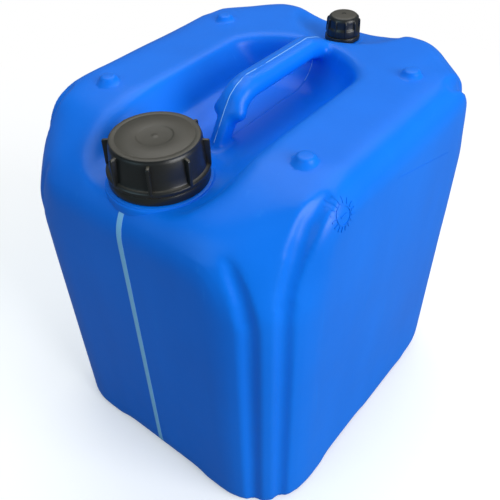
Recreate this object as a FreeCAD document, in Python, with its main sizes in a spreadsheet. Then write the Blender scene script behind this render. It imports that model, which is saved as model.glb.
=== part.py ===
import FreeCAD, Part
import os
import re
import Sketcher

# A 20 litre blow-moulded jerry can with two screw closures.
# Frame: +Z up, origin on the standing plane under the middle of the can.
# X is the can's width and Y its length; the pouring neck is at the -Y end.
# A level stripe runs down the -Y face and a small vent closure stands at +Y.

doc = FreeCAD.newDocument("jerry_can")

SIZES = {
    # the can's shell
    "can_width": 262,
    "can_length": 304,
    "shoulder_height": 317,
    "wall": 2.2,
    "corner_radius": 56,
    "shoulder_radius": 22,
    "base_radius": 9,
    "base_recess_depth": 10,
    "base_recess_inset": 26,
    # the brow slopes from the shoulders down to the front face
    "brow_length": 68,
    "brow_drop": 33,
    # the trough under the handle, and the round deck around the pouring neck
    "trough_half_width": 46,
    "trough_front": 68,
    "trough_back": 64,
    "trough_depth": 31,
    "trough_draft": 20,
    "trough_corner": 24,
    "deck_drop": 27,
    "deck_radius": 44,
    "deck_flare": 10,
    # the hollow that lowers the back deck around the vent
    "saddle_half_width": 54,
    "saddle_length": 60,
    "saddle_drop": 14,
    "vent_deck_drop": 12.5,
    # the studs that key into the base of a can stacked on top
    "stud_radius": 8.5,
    "stud_top_radius": 5,
    "stud_height": 4.5,
    "stud_spread": 90.3,
    "stud_front": 65.5,
    "stud_back": 73.3,
    # the grooves either side of each corner column
    "groove_radius": 7,
    "groove_depth": 3,
    "groove_bottom": 40,
    "face_groove_angle": 38,
    "face_groove_drop": 77,
    "side_groove_angle": 64.5,
    "side_groove_drop": 40,
    # the handle over the trough
    "grip_width": 30,
    "grip_thickness": 23,
    "grip_rise": 10,
    "grip_front": 36,
    "grip_back": 68,
    "grip_fillet": 8,
    "grip_wall": 3,
    "lobe_length": 16,
    "lobe_drop": 4,
    "stem_width": 12,
    "stem_lean": 16,
    # the level stripe, as thick as the wall
    "stripe_width": 5,
    "stripe_bottom": 12,
    # the pouring neck and its closure
    "main_setback": 45,
    "main_bore": 24.5,
    "main_neck_wall": 4,
    "main_neck_height": 29,
    "main_collar": 39,
    "main_collar_height": 1.8,
    "main_bead_width": 2.2,
    "main_bead_height": 1.6,
    "main_ring_height": 6.6,
    "main_ring_wall": 3.2,
    "main_pitch": 5,
    "main_thread_depth": 2,
    "main_thread_turns": 1.6,
    "main_cap_wall": 2.2,
    "main_cap_top": 3.2,
    "main_cap_flare": 1.4,
    "main_rib_count": 8,
    "main_rib_width": 2.6,
    "main_rib_reach": 2.8,
    "main_seal_thickness": 1.6,
    # the vent neck and its closure
    "vent_setback": 28.6,
    "vent_bore": 8,
    "vent_neck_wall": 2.6,
    "vent_neck_height": 18.5,
    "vent_collar": 17.5,
    "vent_collar_height": 0.8,
    "vent_bead_width": 1.2,
    "vent_bead_height": 1,
    "vent_ring_height": 4.2,
    "vent_ring_wall": 2,
    "vent_pitch": 3,
    "vent_thread_depth": 1.2,
    "vent_thread_turns": 1.8,
    "vent_cap_wall": 1.6,
    "vent_cap_top": 2,
    "vent_cap_flare": 0.4,
    "vent_rib_count": 12,
    "vent_rib_width": 1.8,
    "vent_rib_reach": 0.8,
    "vent_seal_thickness": 1.2,
    # how much of the pitch a thread's ridge takes up at its root and its crest
    "thread_root_share": 0.44,
    "thread_crest_share": 0.24,
    # the space between pieces that turn or lift past each other
    "running_gap": 0.5,
    "face_gap": 0.4,
}

sheet = doc.addObject("Spreadsheet::Sheet", "Sizes")
for row, (alias, amount) in enumerate(SIZES.items(), start=1):
    sheet.set(f"A{row}", alias)
    sheet.set(f"B{row}", str(amount))
    sheet.setAlias(f"B{row}", alias)
doc.recompute()

ALIAS = re.compile(r"\b(" + "|".join(sorted(SIZES, key=len, reverse=True)) + r")\b")

# places that several pieces share
HALF_WIDTH = "(can_width / 2)"
HALF_LENGTH = "(can_length / 2)"
DECK = "(shoulder_height - deck_drop)"
VENT_DECK = "(shoulder_height - vent_deck_drop)"
TROUGH_FLOOR = "(shoulder_height - trough_depth)"
GRIP_TOP = "(shoulder_height + grip_rise)"
GRIP_UNDER = "(shoulder_height + grip_rise - grip_thickness)"
# how far a solid reaches past a face so that it joins or cuts cleanly
OVERLAP = "1"


def bound(expression):
    """The expression with every size read from the sheet."""
    return ALIAS.sub(r"Sizes.\1", expression)


def size(expression):
    """What an expression comes to now."""
    return float(sheet.evalExpression(bound(expression)))


def bind(item, **expressions):
    """Ties properties of an object to expressions."""
    for name, expression in expressions.items():
        item.setExpression(name, bound(expression))
    return item


def place(item, x="0", y="0", z="0"):
    """Ties an object's position to expressions."""
    for axis, expression in zip("xyz", (x, y, z)):
        item.setExpression(f"Placement.Base.{axis}", bound(expression))
    return item


def cylinder(name, radius, height, x="0", y="0", z="0"):
    """An upright cylinder standing on z."""
    item = doc.addObject("Part::Cylinder", name)
    bind(item, Radius=radius, Height=height)
    return place(item, x, y, z)


def cone(name, lower, upper, height, x="0", y="0", z="0"):
    """An upright cone standing on z."""
    item = doc.addObject("Part::Cone", name)
    bind(item, Radius1=lower, Radius2=upper, Height=height)
    return place(item, x, y, z)


def fuse(name, *items):
    """One solid from several that overlap."""
    item = doc.addObject("Part::MultiFuse", name)
    item.Shapes = list(items)
    item.Refine = True
    return item


def cut(name, base, tool):
    """The base with the tool taken away."""
    item = doc.addObject("Part::Cut", name)
    item.Base = base
    item.Tool = tool
    return item


def closed_outline(sketch, points):
    """Draws a closed ring of straight sides, each corner tied to its expressions."""
    corners = [FreeCAD.Vector(size(across), size(up), 0) for across, up in points]
    for index, corner in enumerate(corners):
        sketch.addGeometry(Part.LineSegment(corner, corners[(index + 1) % len(corners)]))
    for index, (across, up) in enumerate(points):
        following = (index + 1) % len(points)
        sketch.addConstraint(Sketcher.Constraint("Coincident", index, 2, following, 1))
        for kind, expression, axis in (("DistanceX", across, -2), ("DistanceY", up, -1)):
            if size(expression) == 0:
                sketch.addConstraint(Sketcher.Constraint("PointOnObject", index, 1, axis))
                continue
            tie = Sketcher.Constraint(kind, -1, 1, index, 1, size(expression))
            number = sketch.addConstraint(tie)
            sketch.setExpression(f"Constraints[{number}]", bound(expression))


def outline(body, name, role, points):
    """A closed sketch of straight sides on one of the body's own planes."""
    sketch = body.newObject("Sketcher::SketchObject", name)
    plane = next(item for item in body.Origin.OriginFeatures if item.Role == role)
    sketch.AttachmentSupport = (plane, [""])
    sketch.MapMode = "FlatFace"
    closed_outline(sketch, points)
    return sketch


def pad(body, name, sketch, length, middle=False, draft="0"):
    """The sketch pulled out into a solid."""
    item = body.newObject("PartDesign::Pad", name)
    item.Profile = sketch
    item.Midplane = middle
    bind(item, Length=length)
    if draft != "0":
        bind(item, TaperAngle=draft)
    doc.recompute()
    return item


def fillet(body, name, radius, test):
    """Rounds every edge of the body's tip that passes the test."""
    tip = body.Tip
    picked = [f"Edge{i}" for i, edge in enumerate(tip.Shape.Edges, start=1) if test(edge)]
    if not picked:
        raise ValueError(f"no edge to round for {name}")
    item = body.newObject("PartDesign::Fillet", name)
    item.Base = (tip, picked)
    bind(item, Radius=radius)
    doc.recompute()
    if item.Shape.isNull() or not item.Shape.isValid():
        raise ValueError(f"{name} failed")
    return item


def runs_along(axis, edge):
    """Whether an edge is a straight one along an axis."""
    if len(edge.Vertexes) != 2:
        return False
    run = edge.Vertexes[1].Point - edge.Vertexes[0].Point
    return run.Length > 0 and abs(abs(run.dot(axis)) - run.Length) < 1e-6


ALONG_X = FreeCAD.Vector(1, 0, 0)
ALONG_Z = FreeCAD.Vector(0, 0, 1)


def block(name, inset):
    """The can's outer form without its recesses, drawn in by an inset on every side."""
    body = doc.addObject("PartDesign::Body", name)
    front = f"({inset} - {HALF_LENGTH})"
    back = f"({HALF_LENGTH} - {inset})"
    top = f"(shoulder_height - {inset})"
    crest = f"(brow_length - {HALF_LENGTH})"
    brow = f"({top} - brow_drop)"
    corners = [(front, inset), (back, inset), (back, top), (crest, top), (front, brow)]
    profile = outline(body, f"{name}_profile", "YZ_Plane", corners)
    pad(body, f"{name}_pad", profile, f"(can_width - 2 * {inset})", middle=True)
    above = size(f"{brow} - {OVERLAP}")
    below = size(f"{inset} + {OVERLAP}")
    corner = f"(corner_radius - {inset})"
    fillet(body, f"{name}_corners", corner, lambda edge: runs_along(ALONG_Z, edge))
    shoulder = f"(shoulder_radius - {inset})"
    fillet(body, f"{name}_shoulders", shoulder, lambda edge: edge.BoundBox.ZMin > above)
    foot = f"(base_radius - {inset})"
    fillet(body, f"{name}_foot", foot, lambda edge: edge.BoundBox.ZMax < below)
    return body


def drafted_tray(name, corners, height, draft, corner):
    """A flat-floored tray that widens upwards from an outline, with rounded corners."""
    body = doc.addObject("PartDesign::Body", name)
    floor = outline(body, f"{name}_floor", "XY_Plane", corners)
    pad(body, f"{name}_pad", floor, height, draft=draft)
    fillet(body, f"{name}_corners", corner, lambda edge: edge.BoundBox.ZLength > 1)
    return body


def trough(name, growth):
    """The space under the handle, between the shoulders."""
    side = f"(trough_half_width + {growth})"
    front = f"(0 - trough_front - {growth})"
    back = f"(trough_back + {growth})"
    left = f"(0 - {side})"
    corners = [(left, front), (side, front), (side, back), (left, back)]
    height = f"(trough_depth + grip_rise + {growth})"
    tray = drafted_tray(name, corners, height, "trough_draft", "trough_corner")
    return place(tray, z=f"({TROUGH_FLOOR} - {growth})")


def base_recess(name, growth):
    """The pushed-up panel under the can, which clears the closures of a can below."""
    side = f"({HALF_WIDTH} - base_recess_inset + {growth})"
    end = f"({HALF_LENGTH} - base_recess_inset + {growth})"
    left = f"(0 - {side})"
    front = f"(0 - {end})"
    corners = [(left, front), (side, front), (side, end), (left, end)]
    height = f"(base_recess_depth + {growth} + {OVERLAP})"
    corner = "(corner_radius - base_recess_inset)"
    tray = drafted_tray(name, corners, height, "0", corner)
    return place(tray, z=f"(0 - {OVERLAP})")


def deck(name, growth):
    """The round clearance above the pouring neck's deck."""
    height = f"(deck_drop + {growth})"
    lower = f"(deck_radius + {growth})"
    upper = f"({lower} + deck_flare)"
    y = f"(main_setback - {HALF_LENGTH})"
    return cone(name, lower, upper, height, y=y, z=f"({DECK} - {growth})")


def saddle(name, growth):
    """The hollow in the back shoulder that the vent stands in."""
    item = doc.addObject("Part::Ellipsoid", name)
    bind(
        item,
        Radius1=f"(saddle_drop + {growth})",
        Radius2=f"(saddle_half_width + {growth})",
        Radius3=f"(saddle_length + {growth})",
    )
    return place(item, y=HALF_LENGTH, z="shoulder_height")


def vent_landing(name, growth):
    """The level round spot in the saddle that the vent's collar stands on."""
    radius = f"(vent_collar + running_gap * 2 + {growth})"
    height = f"(saddle_drop + {growth})"
    y = f"({HALF_LENGTH} - vent_setback)"
    return cylinder(name, radius, height, y=y, z=f"({VENT_DECK} - {growth})")


def groove(name, side, end, angle, drop, growth):
    """One upright groove beside a corner column, with ball ends."""
    radius = f"(groove_radius + {growth})"
    reach = "(corner_radius + groove_radius - groove_depth)"
    x = f"({side} * ({HALF_WIDTH} - corner_radius + {reach} * sin({angle} * 1 deg)))"
    y = f"({end} * ({HALF_LENGTH} - corner_radius + {reach} * cos({angle} * 1 deg)))"
    top = f"(shoulder_height - {drop})"
    shaft = cylinder(f"{name}_shaft", radius, f"({top} - groove_bottom)", x, y, "groove_bottom")
    pieces = [shaft]
    for label, height in (("low", "groove_bottom"), ("high", top)):
        ball = doc.addObject("Part::Sphere", f"{name}_{label}")
        bind(ball, Radius=radius)
        pieces.append(place(ball, x, y, height))
    return pieces


def recesses(name, growth):
    """All that is taken out of the can's outer form."""
    pieces = [
        trough(f"{name}_trough", growth),
        base_recess(f"{name}_base", growth),
        deck(f"{name}_deck", growth),
        saddle(f"{name}_saddle", growth),
        vent_landing(f"{name}_landing", growth),
    ]
    for side in (-1, 1):
        for end in (-1, 1):
            label = f"{name}_groove_{side + 2}{end + 2}"
            face = ("face_groove_angle", "face_groove_drop")
            flank = ("side_groove_angle", "side_groove_drop")
            for index, (angle, drop) in enumerate((face, flank)):
                pieces += groove(f"{label}{index}", side, end, angle, drop, growth)
    return fuse(name, *pieces)


def grip(name, inset):
    """The hand grip from its front lobes to the back wall of the trough."""
    body = doc.addObject("PartDesign::Body", name)
    top = f"({GRIP_TOP} - {inset})"
    under = f"({GRIP_UNDER} + {inset})"
    front = f"({inset} - grip_front)"
    lobe = f"({front} + lobe_length - 2 * {inset})"
    tip = f"({under} - lobe_drop)"
    back = "(trough_back + trough_depth)"
    corners = [
        (f"({front} + lobe_length / 2)", top),
        ("grip_back", top),
        (back, f"({top} - grip_rise)"),
        (back, f"({under} - lobe_drop)"),
        ("grip_back", under),
        (f"({lobe} + lobe_length / 2)", under),
        (lobe, tip),
        (f"({front} - lobe_drop)", tip),
        (front, f"({top} - lobe_length / 2)"),
    ]
    profile = outline(body, f"{name}_profile", "YZ_Plane", corners)
    pad(body, f"{name}_pad", profile, f"(grip_width - 2 * {inset})", middle=True)
    half = size(f"grip_width / 2 - {inset}")
    wall_y = size("trough_back")

    def ahead_of_wall(edge):
        """Whether it is an edge of the grip's flanks, in front of the trough's back wall."""
        return abs(abs(edge.CenterOfMass.x) - half) < 1e-6 and edge.BoundBox.YMin < wall_y

    fillet(body, f"{name}_edges", f"(grip_fillet - {inset})", ahead_of_wall)
    return body


def stem():
    """The web that carries the front of the grip."""
    body = doc.addObject("PartDesign::Body", "stem")
    front = "(0 - grip_front)"
    corners = [
        (front, f"({GRIP_TOP} - lobe_length)"),
        (f"({front} - stem_lean)", f"({TROUGH_FLOOR} - wall / 2)"),
        (f"({front} + lobe_length / 2)", f"({TROUGH_FLOOR} - wall / 2)"),
        (f"({front} + lobe_length)", f"({GRIP_UNDER} + grip_wall)"),
    ]
    profile = outline(body, "stem_profile", "YZ_Plane", corners)
    pad(body, "stem_pad", profile, "stem_width", middle=True)
    return body


def ridge(name, root, crest, prefix):
    """A right-hand screw thread's ridge about the Z axis, wide at its root."""
    pitch = f"{prefix}_pitch"
    spine = doc.addObject("Part::Helix", f"{name}_spine")
    bind(spine, Pitch=pitch, Height=f"({pitch} * {prefix}_thread_turns)", Radius=root)
    profile = doc.addObject("Sketcher::SketchObject", f"{name}_profile")
    profile.Placement.Rotation = FreeCAD.Rotation(ALONG_X, 90)
    wide = f"({pitch} * thread_root_share / 2)"
    narrow = f"({pitch} * thread_crest_share / 2)"
    corners = [(root, f"(0 - {wide})"), (crest, f"(0 - {narrow})"), (crest, narrow), (root, wide)]
    closed_outline(profile, corners)
    sweep = doc.addObject("Part::Sweep", name)
    sweep.Sections = [profile]
    sweep.Spine = (spine, [])
    sweep.Solid = True
    sweep.Frenet = True
    return sweep


def turned(name, corners):
    """A body turned about Z from an outline of radii and heights."""
    body = doc.addObject("PartDesign::Body", name)
    profile = outline(body, f"{name}_profile", "XZ_Plane", corners)
    item = body.newObject("PartDesign::Revolution", f"{name}_turn")
    item.Profile = profile
    item.ReferenceAxis = (profile, ["V_Axis"])
    item.Angle = 360
    doc.recompute()
    return body


class Closure:
    """A threaded neck with its screw cap, seal and tamper ring, on its own deck."""

    def __init__(self, prefix, deck_y, deck_z):
        self.prefix = prefix
        self.deck_y = deck_y
        self.deck_z = deck_z
        self.bore = f"{prefix}_bore"
        self.neck = f"({prefix}_bore + {prefix}_neck_wall)"
        self.thread = f"({self.neck} + {prefix}_thread_depth)"
        self.sleeve = f"({self.thread} + running_gap)"
        self.rim = f"{prefix}_neck_height"
        self.collar_top = f"{prefix}_collar_height"
        self.ring_top = f"({self.collar_top} + {prefix}_ring_height)"
        self.bead_foot = f"({self.ring_top} - {prefix}_bead_height)"
        self.cap_foot = f"({self.ring_top} + face_gap)"
        self.underside = f"({self.rim} + {prefix}_seal_thickness)"
        self.cap_head = f"({self.underside} + {prefix}_cap_top)"
        self.start = f"({self.rim} - {prefix}_pitch * ({prefix}_thread_turns + 0.5))"

    def seat(self, item):
        """Puts a piece modelled on the Z axis onto this closure's deck."""
        return place(item, y=self.deck_y, z=self.deck_z)

    def neck_solid(self):
        """The neck without its bore: collar, tamper bead and thread."""
        p = self.prefix
        below = "(wall * 2)"
        tube = cylinder(f"{p}_tube", self.neck, f"({below} + {self.rim})", z=f"(0 - {below})")
        foot = f"({below} + {self.collar_top})"
        collar = cylinder(f"{p}_collar_disc", f"{p}_collar", foot, z=f"(0 - {below})")
        reach = f"({self.neck} + {p}_bead_width)"
        bead = cylinder(f"{p}_bead", reach, f"{p}_bead_height", z=self.bead_foot)
        root = f"({self.neck} - {p}_neck_wall / 4)"
        thread = ridge(f"{p}_neck_thread", root, self.thread, p)
        place(thread, z=self.start)
        return self.seat(fuse(f"{p}_neck", tube, collar, bead, thread))

    def bore_solid(self):
        """The way out through the neck."""
        foot = f"({self.deck_z} - wall - {OVERLAP})"
        reach = f"({self.rim} + wall + 2 * {OVERLAP})"
        return cylinder(f"{self.prefix}_way", self.bore, reach, y=self.deck_y, z=foot)

    def cap(self):
        """The screw cap with its grip ribs and inner thread."""
        p = self.prefix
        foot = self.cap_foot
        skirt = f"({self.sleeve} + {p}_cap_wall)"
        flared = f"({skirt} + {p}_cap_flare)"
        flange = f"({foot} + {p}_cap_wall)"
        under = self.underside
        head = self.cap_head
        corners = [
            ("0", under),
            (self.sleeve, under),
            (self.sleeve, foot),
            (flared, foot),
            (flared, flange),
            (skirt, f"({flange} + {p}_cap_wall / 2)"),
            (f"({self.sleeve} + {p}_cap_wall / 2)", f"({head} - {p}_cap_wall)"),
            (f"({self.sleeve} - {p}_cap_wall / 4)", head),
            ("0", head),
        ]
        body = turned(f"{p}_cap_body", corners)
        reach = f"({skirt} + {p}_rib_reach)"
        inside = f"({self.sleeve} + {p}_cap_wall / 4)"
        rib = [
            (inside, f"({foot} + {p}_cap_wall / 2)"),
            (flared, f"({foot} + {p}_cap_wall / 2)"),
            (reach, f"({flange} + {p}_cap_wall)"),
            (reach, f"({head} - {p}_cap_wall)"),
            (skirt, f"({head} - {p}_cap_wall / 2)"),
            (inside, f"({head} - {p}_cap_wall / 2)"),
        ]
        sketch = outline(body, f"{p}_rib_profile", "XZ_Plane", rib)
        first = pad(body, f"{p}_rib", sketch, f"{p}_rib_width", middle=True)
        around = body.newObject("PartDesign::PolarPattern", f"{p}_ribs")
        around.Originals = [first]
        around.Axis = (next(i for i in body.Origin.OriginFeatures if i.Role == "Z_Axis"), [""])
        around.Angle = 360
        bind(around, Occurrences=f"{p}_rib_count")
        body.Tip = around
        root = f"({self.sleeve} + {p}_cap_wall / 4)"
        crest = f"({self.neck} + running_gap)"
        thread = ridge(f"{p}_cap_thread", root, crest, p)
        place(thread, z=f"({self.start} - {p}_pitch / 2)")
        return self.seat(fuse(f"{p}_cap", body, thread))

    def seal(self):
        """The sealing disc that lies on the neck's rim, inside the cap."""
        p = self.prefix
        radius = f"({self.sleeve} - running_gap)"
        disc = doc.addObject("Part::Cylinder", f"{p}_seal")
        bind(disc, Radius=radius, Height=f"{p}_seal_thickness")
        return place(disc, y=self.deck_y, z=f"({self.deck_z} + {self.rim})")

    def tamper_ring(self):
        """The ring that stays behind on the neck, caught under the bead."""
        p = self.prefix
        lip = f"({self.neck} + running_gap)"
        bore = f"({self.neck} + {p}_bead_width + running_gap)"
        outside = f"({self.sleeve} + {p}_ring_wall)"
        ledge = f"({self.bead_foot} - face_gap)"
        low = self.collar_top
        high = self.ring_top
        corners = [
            (lip, low),
            (outside, low),
            (outside, high),
            (bore, high),
            (bore, ledge),
            (lip, ledge),
        ]
        return self.seat(turned(f"{p}_tamper_ring", corners))


main = Closure("main", f"(main_setback - {HALF_LENGTH})", DECK)
vent = Closure("vent", f"({HALF_LENGTH} - vent_setback)", VENT_DECK)


def studs():
    """The four studs on the shoulders."""
    pieces = []
    for side in (-1, 1):
        for end, reach in ((-1, "stud_front"), (1, "stud_back")):
            name = f"stud_{side + 2}{end + 2}"
            foot = f"(shoulder_height - {OVERLAP})"
            height = f"(stud_height + {OVERLAP})"
            x = f"({side} * stud_spread)"
            y = f"({end} * {reach})"
            pieces.append(cone(name, "stud_radius", "stud_top_radius", height, x, y, foot))
    return pieces


def can_shell():
    """The hollow can with its handle and necks, before the stripe is set in."""
    form = cut("form", block("outer", "0 * wall"), recesses("hollows", "0 * wall"))
    necks = [main.neck_solid(), vent.neck_solid()]
    outside = fuse("outside", form, grip("hand_grip", "0 * wall"), stem(), *necks, *studs())
    room = cut("room", block("inner", "wall"), recesses("walls", "wall"))
    core = grip("grip_core", "grip_wall")
    inside = fuse("inside", room, core, main.bore_solid(), vent.bore_solid())
    return cut("shell", outside, inside)


def stripe_slot():
    """The strip of the front wall that the level stripe takes up."""
    slot = doc.addObject("Part::Box", "stripe_slot")
    bind(
        slot,
        Length="stripe_width",
        Width=f"(main_setback - main_collar + {OVERLAP})",
        Height=f"({DECK} - stripe_bottom)",
    )
    return place(slot, "(0 - stripe_width / 2)", f"(0 - {HALF_LENGTH} - {OVERLAP})", "stripe_bottom")


shell = can_shell()
slot = stripe_slot()
can_body = cut("can_body", shell, slot)
level_stripe = doc.addObject("Part::Common", "level_stripe")
level_stripe.Base = shell
level_stripe.Tool = slot

PIECES = {
    "can_body": can_body,
    "level_stripe": level_stripe,
    "main_tamper_ring": main.tamper_ring(),
    "main_seal": main.seal(),
    "main_cap": main.cap(),
    "vent_tamper_ring": vent.tamper_ring(),
    "vent_seal": vent.seal(),
    "vent_cap": vent.cap(),
}
doc.recompute()

for item in doc.Objects:
    if {"Invalid", "Error"} & set(item.State):
        raise ValueError(f"{item.Name} did not compute")
for label, piece in PIECES.items():
    if piece.Shape.isNull() or not piece.Shape.isValid():
        raise ValueError(f"{label} has no valid shape")
    if len(piece.Shape.Solids) != 1:
        raise ValueError(f"{label} has {len(piece.Shape.Solids)} solids")
    piece.Label = label

os.makedirs("parts", exist_ok=True)
for label, piece in PIECES.items():
    piece.Shape.exportStep(f"parts/{label}.step")
    print(label, round(piece.Shape.Volume / 1000, 2), "cm3")
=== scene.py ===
"""The looks of a 20 litre blow-moulded jerry can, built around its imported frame."""

import logging
import math
from collections.abc import Callable, Iterator
from contextlib import contextmanager
from dataclasses import dataclass
from enum import Enum
from typing import Any

import bmesh
import bpy
from mathutils import Matrix, Vector


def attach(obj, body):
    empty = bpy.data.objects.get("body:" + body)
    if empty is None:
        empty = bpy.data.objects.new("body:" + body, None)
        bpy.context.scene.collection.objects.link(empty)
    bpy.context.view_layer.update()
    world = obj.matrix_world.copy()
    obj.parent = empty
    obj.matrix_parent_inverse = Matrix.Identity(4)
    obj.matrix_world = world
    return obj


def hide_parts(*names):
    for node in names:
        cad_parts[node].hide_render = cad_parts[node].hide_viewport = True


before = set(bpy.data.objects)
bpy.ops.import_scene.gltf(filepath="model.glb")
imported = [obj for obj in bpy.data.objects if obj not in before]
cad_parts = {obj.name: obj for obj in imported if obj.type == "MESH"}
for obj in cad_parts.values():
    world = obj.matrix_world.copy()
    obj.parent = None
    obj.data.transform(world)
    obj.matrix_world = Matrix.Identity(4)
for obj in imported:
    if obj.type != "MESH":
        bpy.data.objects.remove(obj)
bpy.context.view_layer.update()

LOG = logging.getLogger("jerry_can")
Shape = bpy.types.Object
Point = tuple[float, float, float]
Test = Callable[[Any], bool]
Outline = list[tuple[float, float]]
Colour = tuple[float, float, float, float]
WHITE = (1, 1, 1, 1)
WELD = 1e-6
THREAD_SQUASH = 0.9


# ---------------------------------------------------------------- the bench


class Element(Enum):
    """What an edit works on."""

    VERTEX = "VERT"
    EDGE = "EDGE"
    FACE = "FACE"


class Join(Enum):
    """How one solid meets another."""

    CUT = "DIFFERENCE"
    ADD = "UNION"


class Bench:
    """Modelling moves, each made the way a modeller makes it by hand."""

    @staticmethod
    def clear() -> None:
        """Leaves nothing selected."""
        bpy.ops.object.select_all(action="DESELECT")

    @staticmethod
    def take(shape: Shape) -> Shape:
        """Makes one object the selected and active one.

        Args:
            shape: The object to work on.

        Returns:
            The same object.
        """
        Bench.clear()
        shape.select_set(True)
        bpy.context.view_layer.objects.active = shape
        return shape

    @staticmethod
    def settle(shape: Shape) -> Shape:
        """Moves an object's place, turn and scale into its mesh."""
        Bench.take(shape)
        bpy.ops.object.transform_apply(location=True, rotation=True, scale=True)
        return shape

    @staticmethod
    def named(name: str) -> Shape:
        """Names the primitive just added and settles it.

        Args:
            name: The name for the object and its mesh.

        Returns:
            The object, with its place, turn and scale moved into its mesh.
        """
        shape = bpy.context.view_layer.objects.active
        shape.name = name
        shape.data.name = name
        return Bench.settle(shape)

    @staticmethod
    def cube(name: str, low: Point, high: Point) -> Shape:
        """Adds a box between two corners.

        Args:
            name: The object's name.
            low: Its lowest corner.
            high: Its highest corner.

        Returns:
            The new object.
        """
        Bench.clear()
        centre = [(a + b) / 2 for a, b in zip(low, high)]
        span = [b - a for a, b in zip(low, high)]
        bpy.ops.mesh.primitive_cube_add(size=1, location=centre, scale=span)
        return Bench.named(name)

    @staticmethod
    def cone(
        name: str, foot: Point, height: float, lower: float, upper: float, sides: int
    ) -> Shape:
        """Adds an upright cone or cylinder standing on its foot.

        Args:
            name: The object's name.
            foot: The middle of its base.
            height: How tall it is.
            lower: Its radius at the base.
            upper: Its radius at the top.
            sides: How many sides it has.

        Returns:
            The new object.
        """
        Bench.clear()
        centre = (foot[0], foot[1], foot[2] + height / 2)
        bpy.ops.mesh.primitive_cone_add(
            vertices=sides, radius1=lower, radius2=upper, depth=height, location=centre
        )
        return Bench.named(name)

    @staticmethod
    def ball(name: str, centre: Point, radii: Point, sides: int = 24) -> Shape:
        """Adds a ball or an ellipsoid.

        Args:
            name: The object's name.
            centre: Its middle.
            radii: Its radius along each axis.
            sides: How many segments go round it.

        Returns:
            The new object.
        """
        Bench.clear()
        bpy.ops.mesh.primitive_uv_sphere_add(
            segments=sides, ring_count=sides // 2, radius=1, location=centre, scale=radii
        )
        return Bench.named(name)

    @staticmethod
    @contextmanager
    def editing(shape: Shape, element: Element) -> Iterator[None]:
        """Opens edit mode on an object with nothing selected in it.

        Args:
            shape: The object to edit.
            element: What the edit selects.
        """
        Bench.take(shape)
        bpy.ops.object.mode_set(mode="EDIT")
        bpy.ops.mesh.select_mode(type=element.value)
        bpy.ops.mesh.select_all(action="DESELECT")
        try:
            yield
        finally:
            bpy.ops.object.mode_set(mode="OBJECT")

    @staticmethod
    def pick(shape: Shape, element: Element, test: Test) -> int:
        """Selects the elements that pass a test, and only those.

        Args:
            shape: The object in edit mode.
            element: Vertices, edges or faces.
            test: Says whether an element is wanted.

        Returns:
            How many were selected.
        """
        mesh = bmesh.from_edit_mesh(shape.data)
        mesh.normal_update()
        every = {Element.VERTEX: mesh.verts, Element.EDGE: mesh.edges, Element.FACE: mesh.faces}
        for group in every.values():
            for item in group:
                item.select = False
        wanted = [item for item in every[element] if test(item)]
        for item in wanted:
            item.select_set(True)
        mesh.select_flush_mode()
        bmesh.update_edit_mesh(shape.data)
        return len(wanted)

    @staticmethod
    def round_edges(shape: Shape, test: Test, radius: float, steps: int) -> None:
        """Bevels the edges that pass a test.

        Args:
            shape: The object to change.
            test: Says whether an edge is wanted.
            radius: How wide the bevel is.
            steps: How many segments it has.
        """
        with Bench.editing(shape, Element.EDGE):
            if Bench.pick(shape, Element.EDGE, test):
                bpy.ops.mesh.bevel(
                    offset=radius, offset_type="OFFSET", segments=steps, affect="EDGES",
                    clamp_overlap=False,
                )

    @staticmethod
    def slice(shape: Shape, point: Point, normal: Point) -> None:
        """Cuts an object with a plane and throws away what lies past its normal.

        Args:
            shape: The object to cut.
            point: A point on the plane.
            normal: The plane's normal.
        """
        with Bench.editing(shape, Element.VERTEX):
            bpy.ops.mesh.select_all(action="SELECT")
            bpy.ops.mesh.bisect(
                plane_co=point, plane_no=normal, use_fill=True, clear_outer=True, threshold=WELD
            )

    @staticmethod
    def shift(shape: Shape, test: Test, by: Point) -> None:
        """Moves the vertices that pass a test.

        Args:
            shape: The object to change.
            test: Says whether a vertex is wanted.
            by: How far they move.
        """
        with Bench.editing(shape, Element.VERTEX):
            Bench.pick(shape, Element.VERTEX, test)
            bpy.ops.transform.translate(value=by)

    @staticmethod
    def modify(shape: Shape, kind: str, **settings: Any) -> Shape:
        """Adds a modifier, sets it and applies it.

        Args:
            shape: The object to change.
            kind: The modifier's type.
            **settings: The modifier's own settings.

        Returns:
            The changed object.
        """
        Bench.take(shape)
        modifier = shape.modifiers.new(kind.title(), kind)
        for name, value in settings.items():
            setattr(modifier, name, value)
        bpy.ops.object.modifier_apply(modifier=modifier.name)
        return shape

    @staticmethod
    def meet(shape: Shape, other: Shape, how: Join) -> Shape:
        """Cuts away or adds another solid, and removes that solid.

        Args:
            shape: The object to change.
            other: The solid it meets.
            how: Whether that solid is cut away or added.

        Returns:
            The changed object.
        """
        Bench.modify(shape, "BOOLEAN", object=other, operation=how.value, solver="EXACT")
        bpy.data.objects.remove(other)
        return shape

    @staticmethod
    def join(name: str, shapes: list[Shape]) -> Shape:
        """Joins objects into one.

        Args:
            name: The joined object's name.
            shapes: The objects, of which the first stays.

        Returns:
            The joined object.
        """
        Bench.clear()
        for shape in shapes:
            shape.select_set(True)
        bpy.context.view_layer.objects.active = shapes[0]
        if len(shapes) > 1:
            bpy.ops.object.join()
        shapes[0].name = name
        shapes[0].data.name = name
        return shapes[0]

    @staticmethod
    def copy(shape: Shape, name: str) -> Shape:
        """A copy with a mesh of its own.

        Args:
            shape: The object to copy.
            name: The copy's name.

        Returns:
            The copy.
        """
        twin = shape.copy()
        twin.data = shape.data.copy()
        twin.name = name
        bpy.context.scene.collection.objects.link(twin)
        return twin

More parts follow.
